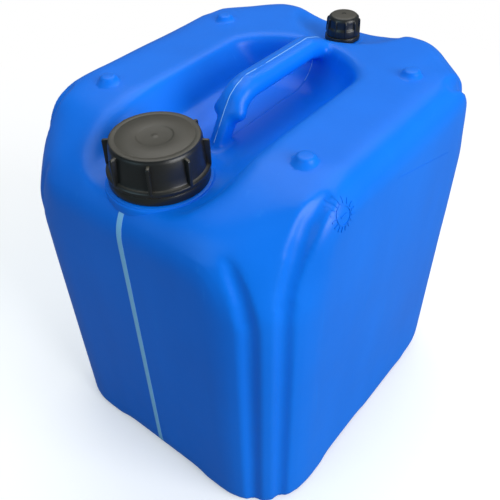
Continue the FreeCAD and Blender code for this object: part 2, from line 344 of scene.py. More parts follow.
    @staticmethod
    def mirrored(shape: Shape, axis: int) -> Shape:
        """A copy mirrored through the origin along one axis, with its faces turned back out.

        Args:
            shape: The object to copy.
            axis: 0, 1 or 2 for X, Y or Z.

        Returns:
            The mirrored copy.
        """
        twin = Bench.copy(shape, f"{shape.name}_m{axis}")
        twin.scale[axis] = -1
        Bench.settle(twin)
        with Bench.editing(twin, Element.FACE):
            bpy.ops.mesh.select_all(action="SELECT")
            bpy.ops.mesh.normals_make_consistent(inside=False)
        return twin

    @staticmethod
    def turned(name: str, outline: Outline, foot: Point, steps: int) -> Shape:
        """Spins a closed outline of radii and heights about the vertical.

        Args:
            name: The object's name.
            outline: Radii and heights, in order round the section.
            foot: Where the outline's own zero stands.
            steps: How many steps the spin takes.

        Returns:
            The turned solid.
        """
        Bench.clear()
        bpy.ops.mesh.primitive_circle_add(vertices=len(outline), radius=1, location=(0, 0, 0))
        shape = Bench.named(name)
        for vertex, (radius, height) in zip(shape.data.vertices, outline):
            vertex.co = (radius, 0, height)
        with Bench.editing(shape, Element.VERTEX):
            bpy.ops.mesh.select_all(action="SELECT")
            bpy.ops.mesh.spin(steps=steps, angle=math.tau, center=(0, 0, 0), axis=(0, 0, 1))
            bpy.ops.mesh.select_all(action="SELECT")
            bpy.ops.mesh.remove_doubles(threshold=WELD)
            bpy.ops.mesh.normals_make_consistent(inside=False)
        shape.location = foot
        return Bench.settle(shape)

    @staticmethod
    def soften(shape: Shape, degrees: float = 40) -> Shape:
        """Shades smooth, keeping edges sharper than an angle crisp.

        Args:
            shape: The object to shade.
            degrees: The sharpest angle that is still smoothed.

        Returns:
            The same object.
        """
        Bench.take(shape)
        bpy.ops.object.shade_smooth_by_angle(angle=math.radians(degrees))
        return shape


# ---------------------------------------------------------------- the finishes


class Wire:
    """A shader socket that takes part in Python expressions."""

    def __init__(self, graph: "Graph", socket: Any) -> None:
        """Keeps the socket and the graph it belongs to."""
        self.graph = graph
        self.socket = socket

    def _math(self, operation: str, first: Any, second: Any) -> "Wire":
        """Adds one Math node."""
        return self.graph.node("ShaderNodeMath", {"operation": operation}, {0: first, 1: second})

    def __add__(self, other: Any) -> "Wire":
        """self + other."""
        return self._math("ADD", self, other)

    __radd__ = __add__

    def __sub__(self, other: Any) -> "Wire":
        """self - other."""
        return self._math("SUBTRACT", self, other)

    def __rsub__(self, other: Any) -> "Wire":
        """other - self."""
        return self._math("SUBTRACT", other, self)

    def __mul__(self, other: Any) -> "Wire":
        """self * other."""
        return self._math("MULTIPLY", self, other)

    __rmul__ = __mul__

    def __gt__(self, other: Any) -> "Wire":
        """1 where self is greater than other."""
        return self._math("GREATER_THAN", self, other)

    def size(self) -> "Wire":
        """The value without its sign."""
        return self._math("ABSOLUTE", self, 0.0)


class Graph:
    """One material's nodes."""

    def __init__(self, name: str) -> None:
        """Starts an empty material with its output.

        Args:
            name: The material's name.
        """
        self.material = bpy.data.materials.new(name)
        self.material.use_nodes = True
        self.tree = self.material.node_tree
        self.tree.nodes.clear()
        self.output = self.tree.nodes.new("ShaderNodeOutputMaterial")

    def node(
        self, kind: str, settings: dict[str, Any], inputs: dict[Any, Any], out: Any = 0
    ) -> Wire:
        """Adds a node.

        Args:
            kind: The node's type.
            settings: Its own settings, and its ramp's stops under "stops".
            inputs: Values or wires for its sockets, by name or number.
            out: Which output to hand back.

        Returns:
            The wire from that output.
        """
        node = self.tree.nodes.new(kind)
        for name, value in settings.items():
            if name == "stops":
                self._stops(node.color_ramp, value)
            else:
                setattr(node, name, value)
        for name, value in inputs.items():
            if isinstance(value, Wire):
                self.tree.links.new(value.socket, node.inputs[name])
            else:
                node.inputs[name].default_value = value
        return Wire(self, node.outputs[out])

    @staticmethod
    def _stops(ramp: Any, stops: list[tuple[float, float]]) -> None:
        """Sets a grey ramp's stops.

        Args:
            ramp: The node's ramp.
            stops: Each stop's place and its grey.
        """
        while len(ramp.elements) < len(stops):
            ramp.elements.new(0.5)
        for element, (place, grey) in zip(ramp.elements, stops):
            element.position = place
            element.color = (grey, grey, grey, 1)

    def place(self) -> Wire:
        """The object coordinates."""
        return self.node("ShaderNodeTexCoord", {}, {}, "Object")

    def noise(self, scale: float, detail: float = 2, stretch: Point = (1, 1, 1)) -> Wire:
        """A noise over the object, about 0.5 on average.

        Args:
            scale: How many of its lumps go in a metre.
            detail: How many octaves it has.
            stretch: How its scale differs along each axis.

        Returns:
            The noise's value.
        """
        placed = self.node(
            "ShaderNodeMapping", {}, {"Vector": self.place(), "Scale": stretch}
        )
        inputs = {"Vector": placed, "Scale": scale, "Detail": detail}
        return self.node("ShaderNodeTexNoise", {}, inputs, "Fac")

    def part(self, vector: Wire, axis: str) -> Wire:
        """One part of a vector."""
        return self.node("ShaderNodeSeparateXYZ", {}, {0: vector}, axis)

    def ramp(self, value: Wire, stops: list[tuple[float, float]]) -> Wire:
        """A value passed through a grey ramp."""
        return self.node("ShaderNodeValToRGB", {"stops": stops}, {"Fac": value})

    def mix(self, factor: Any, first: Any, second: Any) -> Wire:
        """A colour between two."""
        settings = {"data_type": "RGBA"}
        return self.node("ShaderNodeMix", settings, {0: factor, 6: first, 7: second}, 2)

    def bump(self, height: Wire, strength: float, distance: float, under: Any = None) -> Wire:
        """A bump from a height.

        Args:
            height: The height.
            strength: How much of it shows.
            distance: How tall it is.
            under: A bump that it lies on.

        Returns:
            The bumped normal.
        """
        inputs = {"Height": height, "Strength": strength, "Distance": distance}
        if under is not None:
            inputs["Normal"] = under
        return self.node("ShaderNodeBump", {}, inputs)

    def surface(self, inputs: dict[str, Any]) -> bpy.types.Material:
        """Closes the material with a Principled shader.

        Args:
            inputs: The shader's values and wires.

        Returns:
            The finished material.
        """
        shader = self.node("ShaderNodeBsdfPrincipled", {}, inputs)
        self.tree.links.new(shader.socket, self.output.inputs["Surface"])
        return self.material


def colour(red: float, green: float, blue: float) -> Colour:
    """A colour given as a screen shows it, from 0 to 255, as the shader takes it.

    Args:
        red: Red as shown.
        green: Green as shown.
        blue: Blue as shown.

    Returns:
        The linear colour with full alpha.
    """
    def linear(value: float) -> float:
        """One channel."""
        share = value / 255
        return share / 12.92 if share <= 0.04045 else ((share + 0.055) / 1.055) ** 2.4

    return (linear(red), linear(green), linear(blue), 1.0)


@dataclass(frozen=True)
class MouldedPlastic:
    """Polyethylene as it comes out of a blow mould: an even colour with a soft, dimpled sheen."""

    name: str
    base: Colour
    deep: Colour
    worn: Colour
    roughness: float = 0.36
    dimple: float = 0.00008
    sheen: float = 0.24
    scuffs: float = 0.35
    # The colour of a painted sky reflection laid on upward faces, if any.
    painted_reflection: Colour | None = None
    seam: float = 0.0

    def material(self) -> bpy.types.Material:
        """The finish as a material."""
        graph = Graph(self.name)
        cloud = graph.noise(9, 3)
        streak = graph.noise(26, 3, (1, 1, 0.12))
        tone = graph.ramp(cloud * 0.6 + streak * 0.4, [(0.36, 0), (0.64, 1)])
        tinted = graph.mix(tone, self.deep, self.base)
        scratch = graph.ramp(graph.noise(140, 5, (1, 1, 0.09)), [(0.66, 0), (0.74, 1)])
        speck = graph.ramp(graph.noise(420, 2), [(0.72, 0), (0.78, 1)])
        scuff = (scratch * 0.5 + speck * 0.5) * self.scuffs
        shown = graph.mix(scuff, tinted, self.worn)
        rough = (cloud - 0.5) * 0.12 + scuff * 0.3 + self.roughness
        # Upward faces are painted paler and browner as a painted sky reflection on the tops, and
        # made a little rougher.
        if self.painted_reflection:
            facing = graph.part(graph.node("ShaderNodeTexCoord", {}, {}, "Normal"), "Z")
            reflection_mask = graph.ramp(facing, [(0.80, 0), (0.97, 1)])
            shown = graph.mix(reflection_mask, shown, self.painted_reflection)
            rough = rough + reflection_mask * 0.08
        # A thin line along x = 0 over the handle and the shoulders is lightened towards pale blue,
        # in broken stretches set by noise.
        if self.seam:
            place = graph.place()
            across, along, up = (graph.part(place, axis) for axis in "XYZ")
            near = 1 - (across.size() > 0.00034)
            worn = graph.ramp(graph.noise(55, 2), [(0.40, 0), (0.46, 1)])
            kept = (up > 0.2885) * (along > -0.06) * ((0.105 - along) > 0) * worn
            shown = graph.mix(near * kept * self.seam, shown, colour(150, 205, 255))
        peel = graph.noise(650, 2)
        grain = graph.noise(2600, 2)
        wave = graph.noise(30, 1)
        low = graph.bump(wave, 0.5, self.dimple * 6)
        mid = graph.bump(peel, 0.5, self.dimple, low)
        high = graph.bump(grain, 0.35, self.dimple * 0.4, mid)
        return graph.surface(
            {
                "Base Color": shown,
                "Roughness": rough,
                "Normal": high,
                "Specular IOR Level": self.sheen,
            }
        )


@dataclass(frozen=True)
class FloorFinish:
    """A pale floor: white to the eye outside the can's shadow, and duller to the can itself."""

    seen: float = 0.80
    glow: float = 0.34
    near: float = 0.15
    far: float = 0.42
    dull: float = 0.20

    def material(self) -> bpy.types.Material:
        """The finish as a material."""
        graph = Graph("pale_floor")
        grain = graph.noise(40, 3)

        def plain(shade: float, glow: float) -> Wire:
            """A matt shader of one shade."""
            pale = (shade, shade, shade, 1)
            faint = (shade * 0.985, shade * 0.985, shade * 0.985, 1)
            inputs = {
                "Base Color": graph.mix(grain, faint, pale), "Roughness": 0.8,
                "Specular IOR Level": 0.1, "Emission Strength": glow,
                "Emission Color": WHITE,
            }
            return graph.node("ShaderNodeBsdfPrincipled", {}, inputs)

        reach = graph.node(
            "ShaderNodeVectorMath", {"operation": "LENGTH"}, {0: graph.place()}, "Value"
        )
        far = graph.ramp(reach * 0.5, [(self.near, 0), (self.far, 1)])
        looked_at = graph.node("ShaderNodeLightPath", {}, {}, "Is Camera Ray")
        white = graph.node("ShaderNodeEmission", {}, {"Color": WHITE, "Strength": 1.0})
        inputs = {0: far, 1: plain(self.seen, self.glow), 2: white}
        shown = graph.node("ShaderNodeMixShader", {}, inputs)
        inputs = {0: looked_at, 1: plain(self.dull, 0.0), 2: shown}
        blend = graph.node("ShaderNodeMixShader", {}, inputs)
        graph.tree.links.new(blend.socket, graph.output.inputs["Surface"])
        return graph.material


class Finish(Enum):
    """The finishes on the can and its fittings."""

    BLUE = MouldedPlastic(
        "blue_polyethylene", colour(3, 119, 238), colour(2, 112, 228), colour(50, 145, 245),
        seam=0.85,
    )
    STRIPE = MouldedPlastic(
        "clear_polyethylene", colour(150, 208, 250), colour(132, 196, 246), colour(160, 205, 245),
        roughness=0.32,
    )
    # The cap plastic carries a painted sky reflection on its upward faces.
    BLACK = MouldedPlastic(
        "black_cap_plastic", colour(27, 28, 27), colour(22, 24, 24), colour(70, 70, 66),
        roughness=0.34, dimple=0.00004, scuffs=0.2, sheen=0.5, painted_reflection=colour(63, 59, 49),
    )
    FOAM = MouldedPlastic(
        "sealing_foam", colour(226, 226, 222), colour(214, 214, 210), colour(240, 240, 238),
        roughness=0.7,
    )


class Paint:
    """Makes each finish once and hands it out."""

    made: dict[Finish, bpy.types.Material] = {}

    @classmethod
    def on(cls, shape: Shape, finish: Finish) -> None:
        """Gives an object one finish all over.

        Args:
            shape: The object.
            finish: Its finish.
        """
        if finish not in cls.made:
            cls.made[finish] = finish.value.material()
        shape.data.materials.clear()
        shape.data.materials.append(cls.made[finish])


def dress(shape: Shape, body: str, finish: Finish) -> Shape:
    """Gives a finished piece its body and its finish.

    Args:
        shape: The piece.
        body: The CAD body it rides on.
        finish: Its finish.

    Returns:
        The same piece.
    """
    Paint.on(shape, finish)
    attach(shape, body)
    LOG.info("%s: %d faces", shape.name, len(shape.data.polygons))
    return shape


# ---------------------------------------------------------------- the can


@dataclass
class CanShell:
    """The blow-moulded can: walls, shoulders, trough, handle and studs."""

    half_width: float = 0.1303
    half_length: float = 0.1516
    shoulder: float = 0.317
    corner: float = 0.056
    lean: float = 0.015
    front_lean: float = 0.0175
    lean_from: float = 0.245
    shoulder_round: float = 0.022
    shoulder_stretch: float = 1.12
    foot_round: float = 0.007
    brow_length: float = 0.068
    brow_drop: float = 0.0285
    voxel: float = 0.0025
    neck_y: float = -0.107
    deck: float = 0.290
    trough_floor: float = 0.284
    vent_y: float = 0.1234
    vent_deck: float = 0.3045

    def build(self) -> Shape:
        """Models the can and dresses it.

        Returns:
            The finished shell.
        """
        shell = self.block()
        self.melt(shell, self.voxel, 0)
        self.round_corners(shell)
        for hollow in (self.trough(), self.neck_bowl(), self.saddle()):
            self.melt(hollow, self.voxel * 0.7, 1)
            Bench.meet(shell, hollow, Join.CUT)
        shell = Bench.join("can_shell", [shell, self.neck_deck()])
        self.melt(shell, self.voxel, 2)
        self.ease(shell)
        for hollow in (self.base_panel(), self.grooves(shell)):
            self.melt(hollow, self.voxel * 0.5, 4)
            Bench.meet(shell, hollow, Join.CUT)
        shell = Bench.join("can_shell", [shell, self.handle()])
        self.melt(shell, self.voxel * 0.98, 3)
        Bench.meet(shell, self.studs(), Join.ADD)
        self.seam(shell)
        Bench.soften(shell, 180)
        return dress(shell, "can", Finish.BLUE)

    def block(self) -> Shape:
        """The outer form: a rounded box with its brow sloping to the front.

        Returns:
            The block, still low in detail.
        """
        w, l, s = self.half_width, self.half_length, self.shoulder
        block = Bench.cube("can_shell", (-w, -l, 0), (w, l, s))
        slope = (0, -self.brow_drop, self.brow_length)
        Bench.slice(block, (0, self.brow_length - l, s), slope)
        upright = lambda edge: abs(edge.verts[0].co.z - edge.verts[1].co.z) > s / 2
        Bench.round_edges(block, upright, self.corner, 14)
        Bench.round_edges(block, self.foot_edge, self.foot_round, 5)
        self.lean_corners(block)
        self.stretch(block, 1 / self.shoulder_stretch)
        Bench.round_edges(block, self.top_edge, self.shoulder_round, 8)
        self.stretch(block, self.shoulder_stretch)
        return block

    def lean_corners(self, block: Shape) -> None:
        """Draws the upright corners in towards the shoulder, so that they lean.

        Args:
            block: The outer form.
        """
        with Bench.editing(block, Element.VERTEX):
            bpy.ops.mesh.select_all(action="SELECT")
            bpy.ops.mesh.bisect(plane_co=(0, 0, self.lean_from), plane_no=(0, 0, 1))
        for vertex in block.data.vertices:
            place = vertex.co
            if place.z <= self.lean_from + 0.001:
                continue
            across = abs(place.x) - (self.half_width - self.corner)
            along = abs(place.y) - (self.half_length - self.corner)
            if across > 0 and along > 0:
                arm = Vector((across, along)) / self.corner
                lean = self.front_lean if place.y < 0 else self.lean
                step = lean * 2 * arm.x * arm.y
                place.x -= math.copysign(step * arm.x, place.x)
                place.y -= math.copysign(step * arm.y, place.y)
                if place.y < 0:
                    fall = self.brow_length - self.half_length - place.y
                    place.z = self.shoulder - fall * self.brow_drop / self.brow_length

    def stretch(self, block: Shape, factor: float) -> None:
        """Stretches a shape upwards about the shoulder's height.

        Args:
            block: The shape.
            factor: How much taller it becomes.
        """
        with Bench.editing(block, Element.VERTEX):
            bpy.ops.mesh.select_all(action="SELECT")
            bpy.ops.transform.resize(
                value=(1, 1, factor), center_override=(0, 0, self.shoulder)
            )

    @staticmethod
    def top_edge(edge: Any) -> bool:
        """Whether an edge bounds the top or the brow.

        Args:
            edge: The edge.

        Returns:
            True for such an edge.
        """
        lifts = sorted(face.normal.z for face in edge.link_faces)
        if len(lifts) != 2:
            return False
        steep, level = lifts
        return level > 0.5 and (steep < 0.3 or level - steep > 0.03)

    @staticmethod
    def foot_edge(edge: Any) -> bool:
        """Whether an edge bounds the underside."""
        lifts = sorted(face.normal.z for face in edge.link_faces)
        return len(lifts) == 2 and lifts[0] < -0.9 and lifts[1] > -0.3

    def round_corners(self, shell: Shape) -> None:
        """Draws the four shoulder corners further in.

        Args:
            shell: The shell.
        """
        def share(place: Any) -> float:
            """How strongly a point of the shell is drawn in."""
            inward = min(abs(place.x) - 0.055, abs(place.y) - 0.075)
            return min(1.0, inward / 0.03) * min(1.0, (place.z - 0.185) / 0.06)

        self.relax(shell, share, 34)
        front = lambda place: share(place) * min(1.0, -place.y / 0.06)
        self.relax(shell, front, 60)

    def relax(self, shell: Shape, share: Callable[[Any], float], passes: int) -> None:
        """Smooths a part of the shell.

        Args:
            shell: The shell.
            share: How strongly each point is smoothed, 0 or less for not at all.
            passes: How many times.
        """
        group = shell.vertex_groups.new(name="eased")
        for vertex in shell.data.vertices:
            weight = share(vertex.co)
            if weight > 0:
                group.add([vertex.index], weight, "REPLACE")
        Bench.modify(shell, "SMOOTH", factor=0.5, iterations=passes, vertex_group="eased")
        shell.vertex_groups.clear()

    def trough(self) -> Shape:
        """The cutter for the space under the handle, round at the back and open at the front.

        Returns:
            The cutter.
        """
        floor, top, middle = self.trough_floor, 0.350, 0.015
        cutter = Bench.cone("trough", (0, middle, floor), top - floor, 0.059, 0.077, 72)
        Bench.shift(cutter, lambda v: v.co.y < middle - 0.001, (0, -0.085, 0))
        for side in (-1, 1):
            Bench.slice(cutter, (side * 0.0600, 0, self.shoulder), (side * 0.857, 0, -0.514))
        low = lambda edge: all(v.co.z < floor + 0.001 for v in edge.verts)
        Bench.round_edges(cutter, low, 0.020, 6)
        return cutter

    def neck_bowl(self) -> Shape:
        """The cutter for the round deck about the pouring neck."""
        return Bench.cone("neck_bowl", (0, self.neck_y, self.deck), 0.06, 0.046, 0.092, 72)

    def neck_deck(self) -> Shape:
        """The level ground that the pouring neck stands on.

        Returns:
            The solid to add.
        """
        low = self.deck - 0.024
        deck = Bench.cone("neck_deck", (0, self.neck_y, low), 0.024, 0.047, 0.0398, 72)
        Bench.slice(deck, (0, -0.1400, 0), (0, -1, 0))
        return deck

    def saddle(self) -> Shape:
        """The cutter for the hollow about the vent.

        Returns:
            The cutter.
        """
        bowl = Bench.ball(
            "saddle", (0, self.half_length, self.shoulder), (0.054, 0.060, 0.014), 48
        )
        landing = Bench.cone("landing", (0, self.vent_y, self.vent_deck), 0.03, 0.0195, 0.0215, 48)
        return Bench.join("saddle", [bowl, landing])

    def base_panel(self) -> Shape:
        """The cutter for the pushed-up panel underneath.

        Returns:
            The cutter.
        """
        w, l = self.half_width - 0.026, self.half_length - 0.026
        panel = Bench.cube("base_panel", (-w, -l, -0.01), (w, l, 0.010))
        upright = lambda edge: abs(edge.verts[0].co.z - edge.verts[1].co.z) > 0.01
        Bench.round_edges(panel, upright, 0.030, 10)
        return panel

    def rod(self, stations: list[tuple[Point, float]]) -> Shape:
        """A run of balls of given radii, each drawn out to the next.

        Args:
            stations: Places and radii along the run.

        Returns:
            The rod, its spans overlapping at their ends.
        """
        spans = []
        for (start, first), (end, last) in zip(stations, stations[1:]):
            way = Vector(end) - Vector(start)
            Bench.clear()
            bpy.ops.mesh.primitive_uv_sphere_add(segments=20, ring_count=12, radius=first)
            span = Bench.named("rod")
            with Bench.editing(span, Element.VERTEX):
                Bench.pick(span, Element.VERTEX, lambda v: v.co.z > -1e-6)
                bpy.ops.transform.resize(value=[last / first] * 3, center_override=(0, 0, 0))
                bpy.ops.transform.translate(value=(0, 0, way.length))
            span.rotation_mode = "QUATERNION"
            span.rotation_quaternion = way.to_track_quat("Z", "Y")
            span.location = start
            spans.append(Bench.settle(span))
        return Bench.join("rod", spans)

    def along(self, shell: Shape, stations: list[tuple[Point, float, float]], back: int) -> Shape:
        """A rod that sinks into the shell's skin along a run of points near it.

        Args:
            shell: The shell.
            stations: Points near the skin, with the rod's radius and how deep it bites there.
            back: -1 to lay it on the rear of the can, 1 on the front.

        Returns:
            The rod.
        """
        run = []
        for (x, y, z), radius, depth in stations:
            _, skin, normal, _ = shell.closest_point_on_mesh((x, y * back, z))
            run.append((tuple(skin + normal * (radius - depth)), radius))
        (x, y, _), radius = run[0]
        return self.rod([((x, y, -0.02), radius)] + run)

    def grooves(self, shell: Shape) -> Shape:
        """The cutters for the grooves that set off the four corner columns.

        Args:
            shell: The shell they are laid on.

        Returns:
            All eight cutters in one object.
        """
        wide, deep = 0.0076, 0.0040
        face = [
            ((0.1042, -0.1434, 0.232), wide, deep), ((0.1005, -0.1438, 0.252), wide, deep),
            ((0.0966, -0.1434, 0.264), 0.0074, 0.0038), ((0.0912, -0.1420, 0.275), 0.0068, 0.0030),
            ((0.0860, -0.1398, 0.282), 0.0056, 0.0018), ((0.0803, -0.1374, 0.287), 0.0036, 0.0004),
        ]
        flank = [
            ((0.1212, -0.1269, 0.235), wide, deep), ((0.1203, -0.1249, 0.2553), wide, deep),
            ((0.1200, -0.1218, 0.2676), wide, deep), ((0.1205, -0.1173, 0.2788), 0.0080, 0.0042),
            ((0.1194, -0.1099, 0.2930), 0.0086, 0.0045), ((0.1180, -0.1004, 0.3040), 0.0090, 0.0046),
            ((0.1176, -0.0909, 0.3090), 0.0086, 0.0040), ((0.1176, -0.0830, 0.3105), 0.0078, 0.0030),
        ]
        runs = [self.along(shell, run, back) for run in (face, flank) for back in (1, -1)]
        right = Bench.join("grooves", runs)
        return Bench.join("grooves", [right, Bench.mirrored(right, 0)])

    def melt(self, shell: Shape, size: float, passes: int) -> None:
        """Fuses all that overlaps into one skin and smooths it.

        Args:
            shell: The object to change.
            size: The voxel's size.
            passes: How many times it is smoothed after.
        """
        Bench.modify(shell, "REMESH", mode="VOXEL", voxel_size=size, use_smooth_shade=True)
        if passes:
            Bench.modify(shell, "SMOOTH", factor=0.5, iterations=passes)

    def ease(self, shell: Shape) -> None:
        """Softens the rims of the trough, the neck's bowl and the saddle.

        Args:
            shell: The shell.
        """
        def share(place: Any) -> float:
            """How strongly a point of the shell is softened."""
            if place.z < self.trough_floor - 0.004:
                return 0
            return min(1.0, (0.088 - abs(place.x)) / 0.012) * min(1.0, (0.151 - place.y) / 0.01)

        self.relax(shell, share, 12)
        front = lambda place: share(place) * min(1.0, (-0.05 - place.y) / 0.02)
        self.relax(shell, front, 30)

    def handle(self) -> Shape:
        """The grip with its bent nose, the web that carries it and the ridge behind it.

        Returns:
            The handle, its parts overlapping.
        """
        path = [
            (0.080, 0.3130), (0.066, 0.3172), (-0.010, 0.3174), (-0.0185, 0.3155),
            (-0.0252, 0.3112),
        ]
        parts = []
        for side in (-1, 1):
            stations = [((side * 0.0030, y, z), 0.0086) for y, z in path]
            stations.append(((side * 0.0072, -0.0302, 0.3058), 0.0068))
            parts.append(self.rod(stations))
        slab = Bench.cube("slab", (-0.0052, -0.014, 0.3090), (0.0052, 0.074, 0.3276))
        Bench.shift(slab, lambda v: v.co.z > 0.32 and v.co.y > 0.07, (0, 0, -0.0045))
        Bench.shift(slab, lambda v: v.co.z > 0.32 and v.co.y < 0, (0, 0, -0.0012))
        parts.append(slab)
        stem = Bench.cube("stem", (-0.0058, -0.0350, 0.281), (0.0058, -0.018, 0.312))
        Bench.shift(stem, lambda v: v.co.z < 0.3, (0, -0.0205, 0))
        upright = lambda e: abs(e.verts[0].co.z - e.verts[1].co.z) > 0.02
        Bench.round_edges(stem, upright, 0.0025, 3)
        parts.append(stem)
        parts.append(self.rod([((0, 0.078, 0.3105), 0.0055), ((0, 0.096, 0.3048), 0.0048)]))
        return Bench.join("handle", parts)

    def studs(self) -> Shape:
        """The four studs that key into the can above.

        Returns:
            The studs in one object.
        """
        made = []
        for x in (-0.0903, 0.0903):
            for y in (-0.0655, 0.0733):
                foot = (x, y, self.shoulder - 0.003)
                stud = Bench.cone("stud", foot, 0.0078, 0.0106, 0.0056, 40)
                crown = lambda e: all(v.co.z > self.shoulder + 0.004 for v in e.verts)
                Bench.round_edges(stud, crown, 0.0017, 4)
                made.append(stud)
        return Bench.join("studs", made)

    def seam(self, shell: Shape) -> None:
        """Raises the fine parting line that the mould leaves over the handle and the shoulders.

        Args:
            shell: The shell.
        """
        half = 0.00035
        with Bench.editing(shell, Element.VERTEX):
            for x in (-half, 0, half):
                bpy.ops.mesh.select_all(action="SELECT")
                bpy.ops.mesh.bisect(plane_co=(x, 0, 0), plane_no=(1, 0, 0), threshold=WELD)
            on_line = lambda v: abs(v.co.x) < 5e-6 and v.co.z > 0.27 and -0.062 < v.co.y < 0.145
            Bench.pick(shell, Element.VERTEX, on_line)
            bpy.ops.transform.shrink_fatten(value=0.0003)


@dataclass
class Markings:
    """The level stripe, and the raised marks on the can's side."""

    shell: Shape
    stripe_width: float = 0.0048
    stripe_foot: float = 0.005
    stripe_head: float = 0.2893
    proud: float = 0.00018
    mark_height: float = 0.0005
    stripe_thickness: float = 0.0006
    mark_thickness: float = 0.0014
    line_thickness: float = 0.0010
    off_wall: float = 0.14
    ticks: int = 16
    arcs: int = 48

    def build(self) -> None:
        """Models the stripe and the marks and dresses them."""
        stripe = dress(self.stripe(), "can", Finish.STRIPE)
        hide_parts("level_stripe")
        dress(self.dial(), "can", Finish.BLUE)

    def lay(self, shape: Shape, axis: str, proud: float, thickness: float) -> Shape:
        """Lays a flat patch on the can's wall and gives it its thickness.

        Args:
            shape: The flat patch, standing off the wall.
            axis: The axis it is pressed along.
            proud: How far it stands off the wall.
            thickness: How thick it becomes, into the wall.

        Returns:
            The closed, finished patch.
        """
        way = {"use_project_x": axis == "x", "use_project_y": axis == "y"}
        Bench.modify(
            shape, "SHRINKWRAP", target=self.shell, wrap_method="PROJECT", offset=proud,
            use_negative_direction=True, use_positive_direction=True, **way,
        )
        Bench.modify(shape, "SOLIDIFY", thickness=thickness, offset=-1)
        return Bench.soften(shape, 40)

    def strip(self, name: str, length: float, width: float, cuts: int) -> Shape:
        """A flat strip lying along X, cut across many times.

        Args:
            name: The object's name.
            length: Its length.
            width: Its width.
            cuts: How many pieces its length is cut into.

        Returns:
            The strip.
        """
        Bench.clear()
        bpy.ops.mesh.primitive_grid_add(x_subdivisions=cuts, y_subdivisions=3, size=1)
        strip = Bench.named(name)
        strip.scale = (length, width, 1)
        return Bench.settle(strip)

    def stripe(self) -> Shape:
        """The clear stripe down the front.

        Returns:
            The stripe, laid on the wall.
        """
        length = self.stripe_head - self.stripe_foot
        stripe = self.strip("level_window", length, self.stripe_width, 180)
        stripe.rotation_euler = (math.pi / 2, -math.pi / 2, 0)
        stripe.location = (0, -0.165, self.stripe_foot + length / 2)
        return self.lay(Bench.settle(stripe), "y", self.proud, self.stripe_thickness)

    def dial(self) -> Shape:
        """A round dial of raised ticks with a pointer, and the edge of the mould's insert.

        Returns:
            The marks in one object, laid on the wall.
        """
        parts = []
        for turn in range(self.ticks):
            tick = self.strip("tick", 0.0034, 0.0011, 6)
            tick.location = (0.0088, 0, 0)
            parts.append(self.around(Bench.settle(tick), turn * math.tau / self.ticks))
        for turn in range(self.arcs):
            arc = self.strip("arc", 0.0009, 0.00088, 2)
            arc.location = (0.0062, 0, 0)
            parts.append(self.around(Bench.settle(arc), turn * math.tau / self.arcs))
        parts.append(self.strip("pointer", 0.0062, 0.0010, 8))
        dial = Bench.join("side_marks", parts)
        dial.rotation_euler = (math.pi / 2, 0, math.pi / 2)
        dial.location = (self.off_wall, -0.079, 0.3005)
        Bench.settle(dial)
        line = self.strip("insert_line", 0.088, 0.0005, 60)
        line.rotation_euler = (math.pi / 2, -math.atan2(-0.025, 0.084), math.pi / 2)
        line.location = (self.off_wall, 0.031, 0.277)
        line = self.lay(Bench.settle(line), "x", self.proud, self.line_thickness)
        dial = self.lay(dial, "x", self.mark_height, self.mark_thickness)
        return Bench.soften(Bench.join("side_marks", [dial, line]), 40)

    @staticmethod
    def around(shape: Shape, angle: float) -> Shape:
        """Turns a shape about the vertical through the origin."""
        shape.rotation_euler = (0, 0, angle)
        return Bench.settle(shape)


# ---------------------------------------------------------------- the closures


